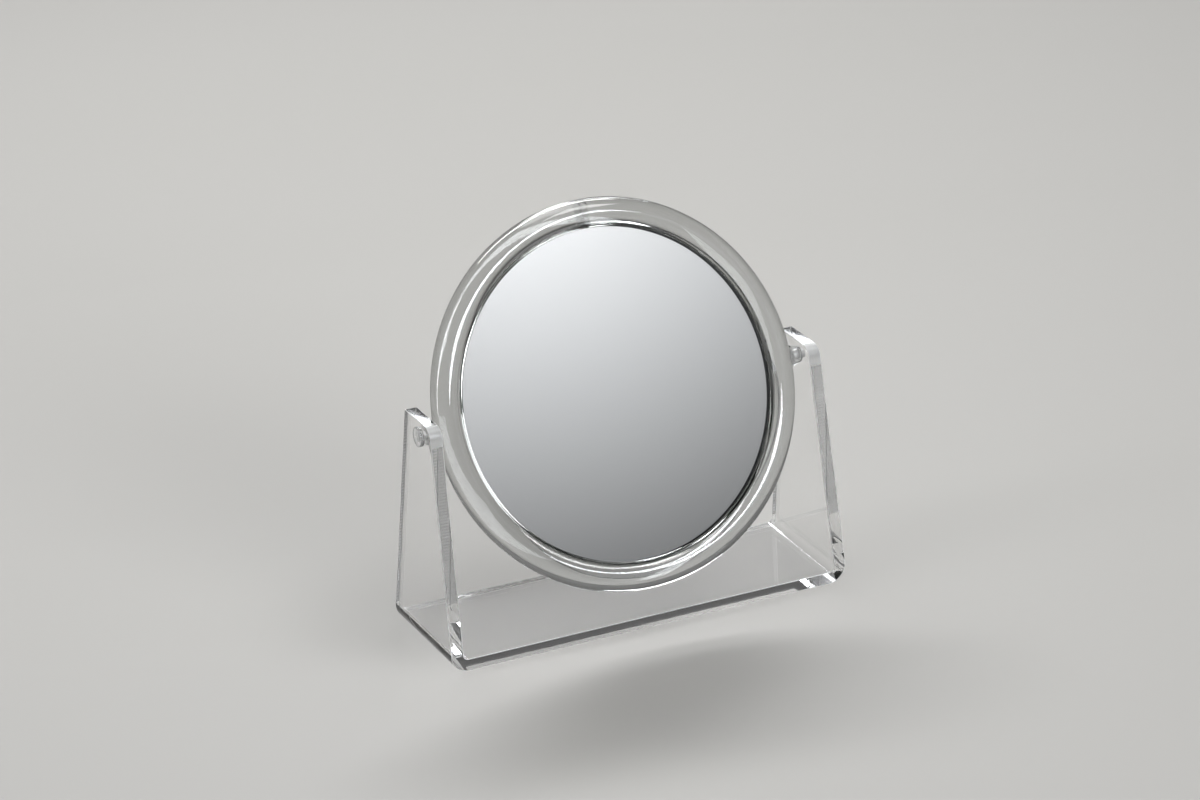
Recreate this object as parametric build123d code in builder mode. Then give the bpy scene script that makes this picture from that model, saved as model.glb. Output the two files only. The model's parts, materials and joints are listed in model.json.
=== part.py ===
"""Tilting table mirror: a round mirror in a clear rod ring, hung between the uprights of a clear bent stand.

Millimetres. X runs along the pivots, Y to the back, Z up. The origin is on the floor under the pivot axis.
"""
from build123d import *
import math
import os

# Ring of clear round rod, measured at the rod's centre line
ring_diameter = 168.0
rod_diameter = 15.0
closing_length = 3.0
cement_line = 0.04

# Glasses in the ring's groove
front_glass_thickness = 3.0
rear_glass_thickness = 2.0
rear_glass_curve_radius = 1400.0
silvering_thickness = 0.15
silvering_edge_inset = 0.5
groove_floor_depth = 3.8
glass_rim_clearance = 0.3
glass_face_clearance = 0.05
ground_edge = 0.4
coat_gap = 0.02
spacer_ring_width = 2.2

# Stand bent from one clear sheet
sheet_thickness = 6.0
base_depth = 62.0
bend_inner_radius = 3.0
upright_lean = 1.3
swing_clearance = 9.5
front_edge_to_pivot = 9.2
back_edge_to_pivot = 18.0
top_edge_to_pivot = 6.4
front_corner_radius = 6.0
back_corner_radius = 1.0
straight_above_bend = 1.0
broken_edge = 0.3

# Pivots
mirror_tilt = 24.0
left_gap = 1.1
right_gap = 5.1
pin_diameter = 4.0
pin_in_ring = 8.0
pin_running_clearance = 0.06
pin_glue_clearance = 0.02
pin_hole_taper = 0.3
pin_end_inset = 0.5
seat_clearance = 0.1
head_diameter = 9.4
head_length = 1.9
head_recess_diameter = 5.8
head_recess_depth = 1.3
head_edge_radius = 0.3
inner_washer_diameter = 9.4
right_washer_diameter = 8.0
right_washer_thickness = 1.3
washer_edge_radius = 0.2
spacer_small_diameter = 8.2
spacer_large_diameter = 10.4

# Ring and stand, worked out from the sizes above
ring_radius = ring_diameter / 2
rod_radius = rod_diameter / 2
ring_outer_radius = ring_radius + rod_radius
pivot_height = sheet_thickness + swing_clearance + ring_outer_radius
stand_height = pivot_height + top_edge_to_pivot
lean_slope = math.tan(math.radians(upright_lean))
sheet_across = sheet_thickness / math.cos(math.radians(upright_lean))
inner_half_width = ring_outer_radius + (left_gap + right_gap) / 2
ring_shift = (left_gap - right_gap) / 2


def inner_face_x(height):
    """Distance of an upright's inner face from the middle of the stand, at a height above the floor."""
    return inner_half_width + (pivot_height - height) * lean_slope


def outer_face_x(height):
    """Distance of an upright's outer face from the middle of the stand, at a height above the floor."""
    return inner_face_x(height) + sheet_across


# Stack of glasses across the groove, from the front glass's face to the rear glass's face
glass_radius = ring_radius - groove_floor_depth - glass_rim_clearance
rear_glass_sag = rear_glass_curve_radius - math.sqrt(rear_glass_curve_radius**2 - glass_radius**2)
stack_gaps = 3 * coat_gap
stack_depth = (
    front_glass_thickness + rear_glass_thickness + 2 * silvering_thickness + rear_glass_sag + stack_gaps
)
front_face = stack_depth / 2
front_back = front_face - front_glass_thickness
front_coat_back = front_back - coat_gap - silvering_thickness
rear_face = -stack_depth / 2
groove_half_width = front_face + glass_face_clearance

# The mirror's own plane looks forward and up, and a section plane cuts across the ring
tilt = math.radians(mirror_tilt)
pivot_point = Vector(ring_shift, 0, pivot_height)
facing = Vector(0, -math.cos(tilt), math.sin(tilt))
upward = Vector(0, math.sin(tilt), math.cos(tilt))
mirror_plane = Plane(origin=pivot_point, x_dir=(1, 0, 0), z_dir=facing)
ring_axis = Axis(pivot_point, facing)
closing_angle = math.degrees(closing_length / ring_radius)
cement_angle = math.degrees(cement_line / ring_radius)


def section_plane(angle):
    """Plane across the ring at an angle from its top: x points outwards, y to the front."""
    outwards = upward.rotate(Axis((0, 0, 0), facing), angle)
    return Plane(origin=pivot_point, x_dir=outwards, z_dir=outwards.cross(facing))


def pivot_plane(x, side):
    """Plane square to the pivot axis at a distance x from the middle, looking outwards on that side."""
    return Plane(origin=(side * x, 0, pivot_height), x_dir=upward, z_dir=(side, 0, 0))


LEFT = -1
RIGHT = 1

# Stand: the bent sheet, its tapered outline and its pivot holes
inner_foot_x = inner_face_x(sheet_thickness)
outer_foot_x = outer_face_x(0)
bend_outer_radius = bend_inner_radius + sheet_thickness
taper_start = bend_outer_radius + straight_above_bend
pin_hole_radius = pin_diameter / 2 + pin_running_clearance


def runs_along_the_sheet(edge):
    """True for an edge between a broad face and a sawn face, not for one across the sheet or a bend."""
    along_y = abs(edge.tangent_at(0.5).Y) > 1 - lean_slope
    across_sheet = abs(edge.tangent_at(0.5).X) > 1 - lean_slope and edge.length < 2 * sheet_thickness
    return not across_sheet and not (along_y and edge.length > base_depth - 2 * sheet_thickness)


with BuildPart() as stand:
    with BuildSketch(Plane.XZ):
        with BuildLine():
            outside = FilletPolyline(
                (-outer_face_x(stand_height), stand_height),
                (-outer_foot_x, 0),
                (outer_foot_x, 0),
                (outer_face_x(stand_height), stand_height),
                radius=bend_outer_radius,
            )
            inside = FilletPolyline(
                (-inner_face_x(stand_height), stand_height),
                (-inner_foot_x, sheet_thickness),
                (inner_foot_x, sheet_thickness),
                (inner_face_x(stand_height), stand_height),
                radius=bend_inner_radius,
            )
            Line(outside @ 0, inside @ 0)
            Line(outside @ 1, inside @ 1)
        make_face()
    extrude(amount=base_depth / 2, both=True)
    with BuildSketch(Plane.YZ) as outline:
        with BuildLine():
            Polyline(
                (-base_depth / 2, 0),
                (base_depth / 2, 0),
                (base_depth / 2, taper_start),
                (back_edge_to_pivot, stand_height),
                (-front_edge_to_pivot, stand_height),
                (-base_depth / 2, taper_start),
                close=True,
            )
        make_face()
        top_corners = outline.vertices().group_by(Axis.Y)[-1].sort_by(Axis.X)
        fillet(top_corners[0], front_corner_radius)
        top_corners = outline.vertices().group_by(Axis.Y)[-1].sort_by(Axis.X)
        fillet(top_corners[-1], back_corner_radius)
    extrude(amount=outer_foot_x + sheet_thickness, both=True, mode=Mode.INTERSECT)
    sawn_edges = stand.edges().filter_by(runs_along_the_sheet)
    fillet(sawn_edges, broken_edge)
    with BuildSketch(pivot_plane(0, RIGHT)):
        Circle(pin_hole_radius)
    extrude(amount=outer_foot_x + sheet_thickness, both=True, mode=Mode.SUBTRACT)
stand.part.label = "stand"


def ring_section():
    """Rod section with the groove for the glasses, drawn across the ring."""
    with Locations((ring_radius, 0)):
        Circle(rod_radius)
    groove_floor = ring_radius - groove_floor_depth
    with Locations((groove_floor, 0)):
        Rectangle(rod_diameter, 2 * groove_half_width, align=(Align.MAX, Align.CENTER), mode=Mode.SUBTRACT)


# Ring: bent rod, open at the top, with a blind hole for each pin that opens a little towards its mouth
pin_bore_depth = pin_in_ring + seat_clearance
with BuildPart() as frame_ring:
    with BuildSketch(section_plane(closing_angle / 2)):
        ring_section()
    revolve(axis=ring_axis, revolution_arc=360 - closing_angle)
    for side in (LEFT, RIGHT):
        reach = ring_outer_radius + side * ring_shift
        with BuildSketch(pivot_plane(reach - pin_bore_depth, side)):
            Circle(pin_diameter / 2 + pin_glue_clearance)
        extrude(amount=2 * pin_bore_depth, taper=-pin_hole_taper, mode=Mode.SUBTRACT)
frame_ring.part.label = "frame_ring"

with BuildPart() as ring_closing_segment:
    with BuildSketch(section_plane(cement_angle - closing_angle / 2)):
        ring_section()
    revolve(axis=ring_axis, revolution_arc=closing_angle - 2 * cement_angle)
ring_closing_segment.part.label = "ring_closing_segment"

# Front glass: flat disc with a ground edge, and its coat behind it
with BuildPart() as front_mirror_glass:
    with BuildSketch(mirror_plane.offset(front_back)):
        Circle(glass_radius)
    extrude(amount=front_glass_thickness)
    chamfer(front_mirror_glass.edges().filter_by(GeomType.CIRCLE), ground_edge)
front_mirror_glass.part.label = "front_mirror_glass"

coat_radius = glass_radius - silvering_edge_inset
with BuildPart() as front_mirror_silvering:
    with BuildSketch(mirror_plane.offset(front_coat_back)):
        Circle(coat_radius)
    extrude(amount=silvering_thickness)
front_mirror_silvering.part.label = "front_mirror_silvering"


def sagged(radius, level):
    """Point of a shallow bowl that opens to the rear, with the level given at the full glass radius."""
    drop = rear_glass_curve_radius - math.sqrt(rear_glass_curve_radius**2 - radius**2)
    return (radius, level + rear_glass_sag - drop)


def bowl(radius, rear_level, front_level):
    """Shallow bowl of even thickness on the mirror's axis, between two levels at the full glass radius."""
    with BuildPart() as made:
        with BuildSketch(section_plane(0)):
            with BuildLine():
                rear_arc = ThreePointArc(
                    sagged(0, rear_level), sagged(radius / 2, rear_level), sagged(radius, rear_level)
                )
                front_arc = ThreePointArc(
                    sagged(0, front_level), sagged(radius / 2, front_level), sagged(radius, front_level)
                )
                Line(rear_arc @ 0, front_arc @ 0)
                Line(rear_arc @ 1, front_arc @ 1)
            make_face()
        revolve(axis=ring_axis)
    return made


# Rear glass: a shallow bowl that enlarges a little, and its coat on the side towards the front glass
rear_front = rear_face + rear_glass_thickness
rear_coat_front = rear_front + coat_gap + silvering_thickness
rear_mirror_glass = bowl(glass_radius, rear_face, rear_front)
rear_mirror_glass.part.label = "rear_mirror_glass"
rear_mirror_silvering = bowl(coat_radius, rear_front + coat_gap, rear_coat_front)
rear_mirror_silvering.part.label = "rear_mirror_silvering"

# Soft ring that keeps the two coats apart at the rim
spacer_inner_radius = coat_radius - spacer_ring_width
spacer_rear = sagged(spacer_inner_radius, rear_coat_front)[1] + coat_gap
spacer_depth = front_coat_back - coat_gap - spacer_rear
with BuildPart() as mirror_spacer_ring:
    with BuildSketch(mirror_plane.offset(spacer_rear)):
        Circle(coat_radius)
        Circle(spacer_inner_radius, mode=Mode.SUBTRACT)
    extrude(amount=spacer_depth)
mirror_spacer_ring.part.label = "mirror_spacer_ring"


def washer(diameter, thickness, x, side):
    """Round washer with eased rims and a bore that runs on the pin, from x outwards on that side."""
    with BuildPart() as made:
        with BuildSketch(pivot_plane(x, side)):
            Circle(diameter / 2)
        extrude(amount=thickness)
        fillet(made.edges().filter_by(GeomType.CIRCLE), washer_edge_radius)
        with BuildSketch(pivot_plane(x, side)):
            Circle(pin_hole_radius)
        extrude(amount=thickness, mode=Mode.SUBTRACT)
    return made


# Left pivot, from outside to inside: headed pin, upright, thin washer, ring
head_seat_x = outer_face_x(pivot_height - head_diameter / 2) + seat_clearance
left_reach = ring_outer_radius - ring_shift
with BuildPart() as left_pivot_pin:
    with BuildSketch(pivot_plane(head_seat_x, LEFT)):
        Circle(head_diameter / 2)
    extrude(amount=head_length)
    head_rims = left_pivot_pin.edges().filter_by(GeomType.CIRCLE)
    fillet(head_rims, head_edge_radius)
    with BuildSketch(pivot_plane(head_seat_x + head_length, LEFT)):
        Circle(head_recess_diameter / 2)
    extrude(amount=-head_recess_depth, mode=Mode.SUBTRACT)
    with BuildSketch(pivot_plane(left_reach - pin_in_ring, LEFT)):
        Circle(pin_diameter / 2)
    extrude(amount=head_seat_x - left_reach + pin_in_ring)
left_pivot_pin.part.label = "left_pivot_pin"

inner_washer_seat_x = inner_face_x(pivot_height + inner_washer_diameter / 2) - seat_clearance
inner_washer_thickness = inner_washer_seat_x - left_reach - seat_clearance
left_inner_washer = washer(inner_washer_diameter, inner_washer_thickness, left_reach + seat_clearance, LEFT)
left_inner_washer.part.label = "left_inner_washer"

# Right pivot, from the ring outwards: pin, conical spacer, washer, upright
right_reach = ring_outer_radius + ring_shift
right_pin_end_x = outer_face_x(pivot_height + pin_diameter / 2) - pin_end_inset
with BuildPart() as right_pivot_pin:
    with BuildSketch(pivot_plane(right_reach - pin_in_ring, RIGHT)):
        Circle(pin_diameter / 2)
    extrude(amount=right_pin_end_x - right_reach + pin_in_ring)
right_pivot_pin.part.label = "right_pivot_pin"

right_washer_seat_x = inner_face_x(pivot_height + right_washer_diameter / 2) - seat_clearance
right_washer_inner_x = right_washer_seat_x - right_washer_thickness
right_washer = washer(right_washer_diameter, right_washer_thickness, right_washer_inner_x, RIGHT)
right_washer.part.label = "right_washer"

spacer_ring_end_x = right_reach + seat_clearance
spacer_washer_end_x = right_washer_inner_x - seat_clearance
with BuildPart() as right_spacer:
    with BuildSketch(pivot_plane(spacer_ring_end_x, RIGHT)):
        Circle(spacer_large_diameter / 2)
    with BuildSketch(pivot_plane(spacer_washer_end_x, RIGHT)):
        Circle(spacer_small_diameter / 2)
    loft()
    fillet(right_spacer.edges().filter_by(GeomType.CIRCLE), washer_edge_radius)
    with BuildSketch(pivot_plane(spacer_ring_end_x, RIGHT)):
        Circle(pin_hole_radius)
    extrude(amount=spacer_washer_end_x - spacer_ring_end_x, mode=Mode.SUBTRACT)
right_spacer.part.label = "right_spacer"

pieces = [
    stand,
    frame_ring,
    ring_closing_segment,
    front_mirror_glass,
    front_mirror_silvering,
    rear_mirror_glass,
    rear_mirror_silvering,
    mirror_spacer_ring,
    left_pivot_pin,
    left_inner_washer,
    right_pivot_pin,
    right_washer,
    right_spacer,
]
os.makedirs("parts", exist_ok=True)
for piece in pieces:
    export_step(piece.part, f"parts/{piece.part.label}.step")
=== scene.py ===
"""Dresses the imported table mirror: a round mirror in a clear rod ring, on a stand bent from clear sheet.

Metres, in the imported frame: X along the pivots, Y to the back, Z up, with the floor at zero.
"""
import json
import math

import bmesh
import bpy
from bpy.props import FloatProperty, FloatVectorProperty, PointerProperty, StringProperty
from bpy.types import Operator, Panel, PropertyGroup
from mathutils import Matrix, Vector


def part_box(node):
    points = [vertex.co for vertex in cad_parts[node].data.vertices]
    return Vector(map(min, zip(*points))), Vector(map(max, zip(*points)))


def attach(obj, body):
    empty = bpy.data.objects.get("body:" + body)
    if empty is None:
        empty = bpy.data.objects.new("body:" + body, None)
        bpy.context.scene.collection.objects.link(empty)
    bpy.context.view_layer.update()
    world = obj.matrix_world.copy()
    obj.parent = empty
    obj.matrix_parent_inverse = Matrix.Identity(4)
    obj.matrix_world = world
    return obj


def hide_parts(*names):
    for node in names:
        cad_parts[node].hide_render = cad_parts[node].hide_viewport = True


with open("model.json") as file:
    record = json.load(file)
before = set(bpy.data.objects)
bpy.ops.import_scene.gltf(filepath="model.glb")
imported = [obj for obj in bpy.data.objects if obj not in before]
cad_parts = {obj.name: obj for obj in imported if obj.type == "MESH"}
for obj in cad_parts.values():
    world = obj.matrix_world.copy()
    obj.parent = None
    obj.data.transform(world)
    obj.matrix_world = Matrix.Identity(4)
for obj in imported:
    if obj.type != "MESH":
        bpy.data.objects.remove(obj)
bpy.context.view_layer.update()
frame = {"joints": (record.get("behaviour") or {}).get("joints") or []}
PIVOT = Vector(frame["joints"][0]["pos_m"])
LEFT = -1
RIGHT = 1
MM = 0.001
HAIR = 0.002 * MM

# Facets of the round shapes
RING_STEPS = 240
CLOSING_STEPS = 4
ROD_STEPS = 96
GLASS_STEPS = 192
BOWL_RINGS = 14
PIVOT_STEPS = 64
BEND_STEPS = 20
CORNER_STEPS = 14
EASED_STEPS = 3

# Corners of a plain face. Only flat ends have more.
QUAD = 4

# Edges sharper than these are eased, or stay sharp in the shading
EASED_ANGLE = math.radians(50)
SMOOTH_ANGLE = math.radians(30)

ACRYLIC_IOR = 1.49
GLASS_IOR = 1.52
CEMENT_IOR = 1.01

# Places of the finishes among a piece's materials
FACE, EDGE, SAWN, PAINTED_HIGHLIGHT_CORNER, SANDED_AND_HIGHLIGHT = range(5)
CEMENT = 1
SILVER, PAINT = range(2)
PIVOT_PLASTIC = "Moulded clear plastic"

bl_info = {
    "name": "Tilting table mirror",
    "version": (1, 0, 0),
    "blender": (4, 5, 0),
    "location": "3D View > Sidebar > Table Mirror",
    "description": "Models a clear acrylic table mirror with its materials, light and camera",
    "category": "Add Mesh",
}


def length(name, description, millimetres):
    """A size property, written in millimetres and kept in metres."""
    return FloatProperty(
        name=name, description=description, default=millimetres * MM, min=0.0, precision=5, unit="LENGTH"
    )


def angle(name, description, degrees):
    """An angle property, written in degrees and kept in radians."""
    return FloatProperty(name=name, description=description, default=math.radians(degrees), subtype="ANGLE")


def colour(name, description, value):
    """A colour property, kept as an sRGB hex value."""
    return StringProperty(name=name, description=description, default=value)


class MirrorRingSizes(PropertyGroup):
    """Sizes of the rod ring and of the glasses in its groove."""

    ring_diameter: length("Ring", "Diameter of the ring at the rod's centre line", 168)
    rod_diameter: length("Rod", "Diameter of the clear rod", 15)
    closing_length: length("Closing piece", "Length of the piece that closes the ring at its top", 3)
    cement_line: length("Cement line", "Width of each joint beside the closing piece", 0.04)
    eased_end: length("Eased end", "Chamfer on the rod's cut ends, filled with cement", 0.2)
    ring_shift: FloatProperty(
        name="Shift", description="Place of the ring along the pivots", default=-2 * MM, unit="LENGTH"
    )
    groove_floor_depth: length(
        "Groove floor", "Distance of the groove's floor inside the rod's centre line", 3.8
    )
    groove_half_width: length("Groove half width", "Half of the groove's width", 3.8708)
    glass_radius: length("Glass radius", "Radius of both glasses", 79.9)
    front_face: length("Front face", "Distance of the flat glass's face ahead of the ring's middle", 3.8208)
    front_thickness: length("Flat glass", "Thickness of the flat glass", 3)
    rear_thickness: length("Bowl glass", "Thickness of the enlarging glass", 2)
    rear_curve_radius: length("Bowl radius", "Radius of the enlarging glass's curve", 1400)
    ground_edge: length("Ground edge", "Chamfer on the flat glass's rim", 0.4)
    coat_thickness: length("Silver coat", "Thickness of a silver coat with its paint", 0.15)
    coat_inset: length("Coat inset", "Bare rim outside a silver coat", 0.5)
    coat_gap: length("Coat gap", "Gap between a glass and its coat", 0.02)
    spacer_width: length("Rim spacer", "Width of the soft ring between the glasses", 2.2)
    tilt: angle("Tilt", "How far the mirror looks up at rest", 24)


class MirrorStandSizes(PropertyGroup):
    """Sizes of the bent sheet stand."""

    sheet: length("Sheet", "Thickness of the clear sheet", 6)
    base_depth: length("Base depth", "Depth of the base from front to back", 62)
    bend_radius: length("Bend radius", "Inner radius of the two bends", 3)
    inner_half_width: length("Inner half width", "Half of the uprights' distance at the pivots", 94.6)
    lean: angle("Lean", "How far the uprights lean inwards", 1.3)
    front_to_pivot: length(
        "Front to pivot", "Distance of an upright's front top corner ahead of the pivot", 9.2
    )
    back_to_pivot: length("Back to pivot", "Distance of an upright's back top corner behind the pivot", 18)
    top_to_pivot: length("Top to pivot", "Height of an upright above the pivot", 6.4)
    taper_start: length("Taper start", "Height at which the uprights start to narrow", 10)
    front_corner: length("Front corner", "Radius of an upright's front top corner", 6)
    back_corner: length("Back corner", "Radius of an upright's back top corner", 1)
    broken_edge: length("Broken edge", "Radius along the sawn edges", 0.3)
    # The sanded corner is painted highlight: its white bloom stands in for the bright reflection at the top
    # of each upright's front edge.
    painted_highlight_corner: length("Sanded corner", "How far down from the top the front edge is sanded round", 8.5)
    pin_hole: length("Pin hole", "Diameter of the pivot holes", 4.12)


class MirrorPivotSizes(PropertyGroup):
    """Sizes of the pins, washers and spacer at the pivots."""

    pin: length("Pin", "Diameter of both pins", 4)
    bore: length("Bore", "Diameter of the washers' and the spacer's bores", 4.12)
    cement: length("Cement", "Cement between a pin and the ring", 0.02)
    head: length("Head", "Diameter of the left pin's head", 9.4)
    head_length: length("Head length", "Length of the left pin's head", 1.9)
    head_recess: length("Head recess", "Diameter of the recess in the head", 5.8)
    recess_depth: length("Recess depth", "Depth of the recess in the head", 1.3)
    cone_small_end: length("Small end", "Diameter of the right spacer at the upright", 8.2)
    cone_large_end: length("Large end", "Diameter of the right spacer at the ring", 10.4)
    eased: length("Eased rim", "Radius of the rims of the pivot pieces", 0.2)
    head_eased: length("Eased head", "Radius of the head's rims", 0.3)


class MirrorFinishes(PropertyGroup):
    """Colours of the materials and of the stage, as sRGB hex values."""

    acrylic: colour("Acrylic", "Clear acrylic of the sheet", "#FDFDFD")
    # The rod's grey is painted shade: darker than the sheet's acrylic, it makes the clear ring read darker
    # against the pale floor.
    rod: colour("Rod", "Clear acrylic of the thicker rod", "#D4D5D4")
    cement: colour("Cement", "Hairline of cement in the rod's joints", "#D6D8D8")
    sawn_dark: colour("Sawn ticks", "Darker ticks on the edges straight from the saw", "#A9ACAE")
    # On the eased edges and the front corners this white is painted highlight; in the pivot holes it is the
    # drill's real bloom.
    sanded: colour("Sanded acrylic", "Satin bloom where the acrylic is sanded or drilled", "#F7F8F8")
    moulded: colour("Moulded pieces", "Clear plastic of the pivot pieces", "#F7F8F8")
    glass: colour("Glass", "Mirror glass seen through its face", "#FEFEFE")
    glass_depth: colour("Glass depth", "Mirror glass seen along its thickness", "#7FD6C8")
    silver: colour("Silver", "Silver coat", "#F8F4F3")
    backing: colour("Backing paint", "Paint on the back of the silver", "#7C8083")
    spacer: colour("Rim spacer", "Soft ring between the glasses", "#EDEDE8")
    floor: colour("Floor", "Pale floor", "#BCBBB8")
    room: colour("Room", "Light of the room", "#FFFFFF")
    card: colour("Cards", "Light of the cards that the mirror and the clear pieces show", "#F9FBFF")


class MirrorStageSettings(PropertyGroup):
    """Camera, room and floor."""

    azimuth: angle("Azimuth", "Camera's turn from the front to the right", -26.13)
    elevation: angle("Elevation", "Camera's height angle", 24.16)
    roll: angle("Roll", "Camera's roll", -0.99)
    distance: length("Distance", "Camera's distance from its target", 2289.4)
    target: FloatVectorProperty(
        name="Target", description="Point in the middle of the picture", default=(0.02724, 0.07571, 0.06779),
        subtype="TRANSLATION",
    )
    lens: FloatProperty(name="Lens", description="Focal length in millimetres", default=142.9)
    sensor: FloatProperty(name="Sensor", description="Width of the sensor in millimetres", default=36)
    floor_size: length("Floor", "Side of the floor", 9000)
    floor_drop: length("Floor drop", "How far the floor lies under the base", 0.2)
    room_low: FloatProperty(name="Low light", description="Light of the room near the floor", default=0.28)
    room_high: FloatProperty(name="High light", description="Light of the room overhead", default=0.03)


def linear(value, share=1.0):
    """Turns an sRGB hex value into a linear colour, darkened to a share of its light."""
    channels = [int(value[i:i + 2], 16) / 255 for i in (1, 3, 5)]
    lights = [c / 12.92 if c <= 0.04045 else ((c + 0.055) / 1.055) ** 2.4 for c in channels]
    return tuple(share * light for light in lights) + (1.0,)


def add_node(tree, kind, values=None, links=None, **settings):
    """Adds one node: settings are its options, values go on its sockets and links join others to them."""
    made = tree.nodes.new("ShaderNode" + kind)
    for name, value in settings.items():
        setattr(made, name, value)
    for name, value in (values or {}).items():
        made.inputs[name].default_value = value
    for name, source in (links or {}).items():
        tree.links.new(source, made.inputs[name])
    return made


def new_material(name):
    """An empty node material with its output."""
    made = bpy.data.materials.new(name)
    made.use_nodes = True
    made.node_tree.nodes.clear()
    return made, made.node_tree, add_node(made.node_tree, "OutputMaterial")


def let_lamps_through(tree, output, shader, passed):
    """Joins a clear shader to the output so that lamps light what is behind it, by the share passed."""
    path = add_node(tree, "LightPath")
    open_way = add_node(tree, "BsdfTransparent", {"Color": (passed, passed, passed, 1.0)})
    both = add_node(
        tree, "MixShader", None,
        {0: path.outputs["Is Shadow Ray"], 1: shader.outputs[0], 2: open_way.outputs[0]},
    )
    tree.links.new(both.outputs[0], output.inputs["Surface"])


def wave_scale(millimetres):
    """Scale of a wave pattern whose bands are this far apart."""
    return math.tau / (20 * millimetres * MM)


def per_metre(millimetres):
    """Scale of a noise pattern whose patches have this size."""
    return 1.0 / (millimetres * MM)


def uneven_roughness(tree, patch, detail, least, most, shown=(0.3, 0.7), fineness=0.5):
    """Roughness that wanders between two values over patches of this many millimetres.

    The noise between the two limits shown is spread over that span, and fineness weighs its detail.
    """
    spot = add_node(tree, "TexCoord")
    patches = add_node(
        tree, "TexNoise", {"Scale": per_metre(patch), "Detail": detail, "Roughness": fineness},
        {"Vector": spot.outputs["Object"]},
    )
    spread = add_node(
        tree, "MapRange", {"From Min": shown[0], "From Max": shown[1], "To Min": least, "To Max": most},
        {"Value": patches.outputs["Fac"]},
    )
    return spread.outputs[0]


def clear_acrylic(name, shade, passed):
    """Cast acrylic, polished: it shows what is behind it, with hard highlights and faint wiping marks."""
    made, tree, output = new_material(name)
    rough = uneven_roughness(tree, patch=9, detail=6, least=0.0, most=0.03, shown=(0.5, 0.8), fineness=0.62)
    shader = add_node(
        tree, "BsdfPrincipled",
        {"Base Color": linear(shade), "IOR": ACRYLIC_IOR, "Transmission Weight": 1.0},
        {"Roughness": rough},
    )
    let_lamps_through(tree, output, shader, passed)
    return made


def cemented_joint(name, finishes):
    """Acrylic cement between two lengths of rod: clear as they are, but for a clouded grey hairline."""
    made, tree, output = new_material(name)
    spot = add_node(tree, "TexCoord")
    bubbles = add_node(
        tree, "TexNoise", {"Scale": per_metre(0.6), "Detail": 3}, {"Vector": spot.outputs["Object"]}
    )
    tone = add_node(
        tree, "Mix", {"A": linear(finishes.cement), "B": linear(finishes.acrylic)},
        {"Factor": bubbles.outputs["Fac"]}, data_type="RGBA",
    )
    shader = add_node(
        tree, "BsdfPrincipled", {"IOR": CEMENT_IOR, "Roughness": 0.0, "Transmission Weight": 1.0},
        {"Base Color": tone.outputs["Result"]},
    )
    let_lamps_through(tree, output, shader, passed=0.95)
    return made


def polished_edge(name, finishes):
    """Cut edge of the sheet, buffed clear: a faint ripple left across it breaks up its highlights."""
    made, tree, output = new_material(name)
    spot = add_node(tree, "TexCoord")
    ripple = add_node(
        tree, "TexWave", {"Scale": wave_scale(2.5), "Distortion": 0.6, "Detail": 1, "Detail Scale": 3},
        {"Vector": spot.outputs["Object"]}, wave_type="BANDS", bands_direction="Z",
    )
    waves = add_node(
        tree, "Bump", {"Strength": 0.5, "Distance": 0.004 * MM}, {"Height": ripple.outputs["Fac"]}
    )
    rough = uneven_roughness(tree, patch=4, detail=3, least=0.02, most=0.07)
    shader = add_node(
        tree, "BsdfPrincipled",
        {"Base Color": linear(finishes.acrylic), "IOR": ACRYLIC_IOR, "Transmission Weight": 1.0},
        {"Roughness": rough, "Normal": waves.outputs[0]},
    )
    let_lamps_through(tree, output, shader, passed=0.8)
    return made


def sawn_edge(name, finishes):
    """Edge straight from the saw: whitish, with the blade's ticks across it.

    The ticks are drawn 1.6 mm apart, coarser than a blade leaves them, so that they show.
    """
    made, tree, output = new_material(name)
    spot = add_node(tree, "TexCoord")
    ticks = add_node(
        tree, "TexWave", {"Scale": wave_scale(1.6), "Distortion": 0.8, "Detail": 2, "Detail Scale": 3},
        {"Vector": spot.outputs["Object"]}, wave_type="BANDS", bands_direction="Z",
    )
    tone = add_node(
        tree, "Mix", {"A": linear(finishes.sawn_dark), "B": linear(finishes.acrylic)},
        {"Factor": ticks.outputs["Fac"]}, data_type="RGBA",
    )
    ridges = add_node(
        tree, "Bump", {"Strength": 0.5, "Distance": 0.05 * MM}, {"Height": ticks.outputs["Fac"]}
    )
    rough = uneven_roughness(tree, patch=4, detail=3, least=0.3, most=0.45)
    shader = add_node(
        tree, "BsdfPrincipled", {"IOR": ACRYLIC_IOR, "Transmission Weight": 0.75},
        {"Base Color": tone.outputs["Result"], "Roughness": rough, "Normal": ridges.outputs[0]},
    )
    let_lamps_through(tree, output, shader, passed=0.7)
    return made


def sanded_and_highlight_acrylic(name, finishes, clearness):
    """Acrylic left from fine sandpaper or the drill: a satin white bloom that catches all light.

    Its grain is drawn at 0.25 mm, coarser than the grit, so that it shows close up. On the eased edges and
    the uprights' front corners the white bloom is painted highlight; in the drilled holes it is the real
    bloom.
    """
    made, tree, output = new_material(name)
    spot = add_node(tree, "TexCoord")
    grain = add_node(
        tree, "TexNoise", {"Scale": per_metre(0.25), "Detail": 4}, {"Vector": spot.outputs["Object"]}
    )
    rough = add_node(
        tree, "MapRange", {"From Min": 0.3, "From Max": 0.7, "To Min": 0.3, "To Max": 0.45},
        {"Value": grain.outputs["Fac"]},
    )
    scratches = add_node(
        tree, "Bump", {"Strength": 0.4, "Distance": 0.01 * MM}, {"Height": grain.outputs["Fac"]}
    )
    shader = add_node(
        tree, "BsdfPrincipled",
        {"Base Color": linear(finishes.sanded), "IOR": ACRYLIC_IOR, "Transmission Weight": clearness},
        {"Roughness": rough.outputs[0], "Normal": scratches.outputs[0]},
    )
    let_lamps_through(tree, output, shader, passed=0.7)
    return made


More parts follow.
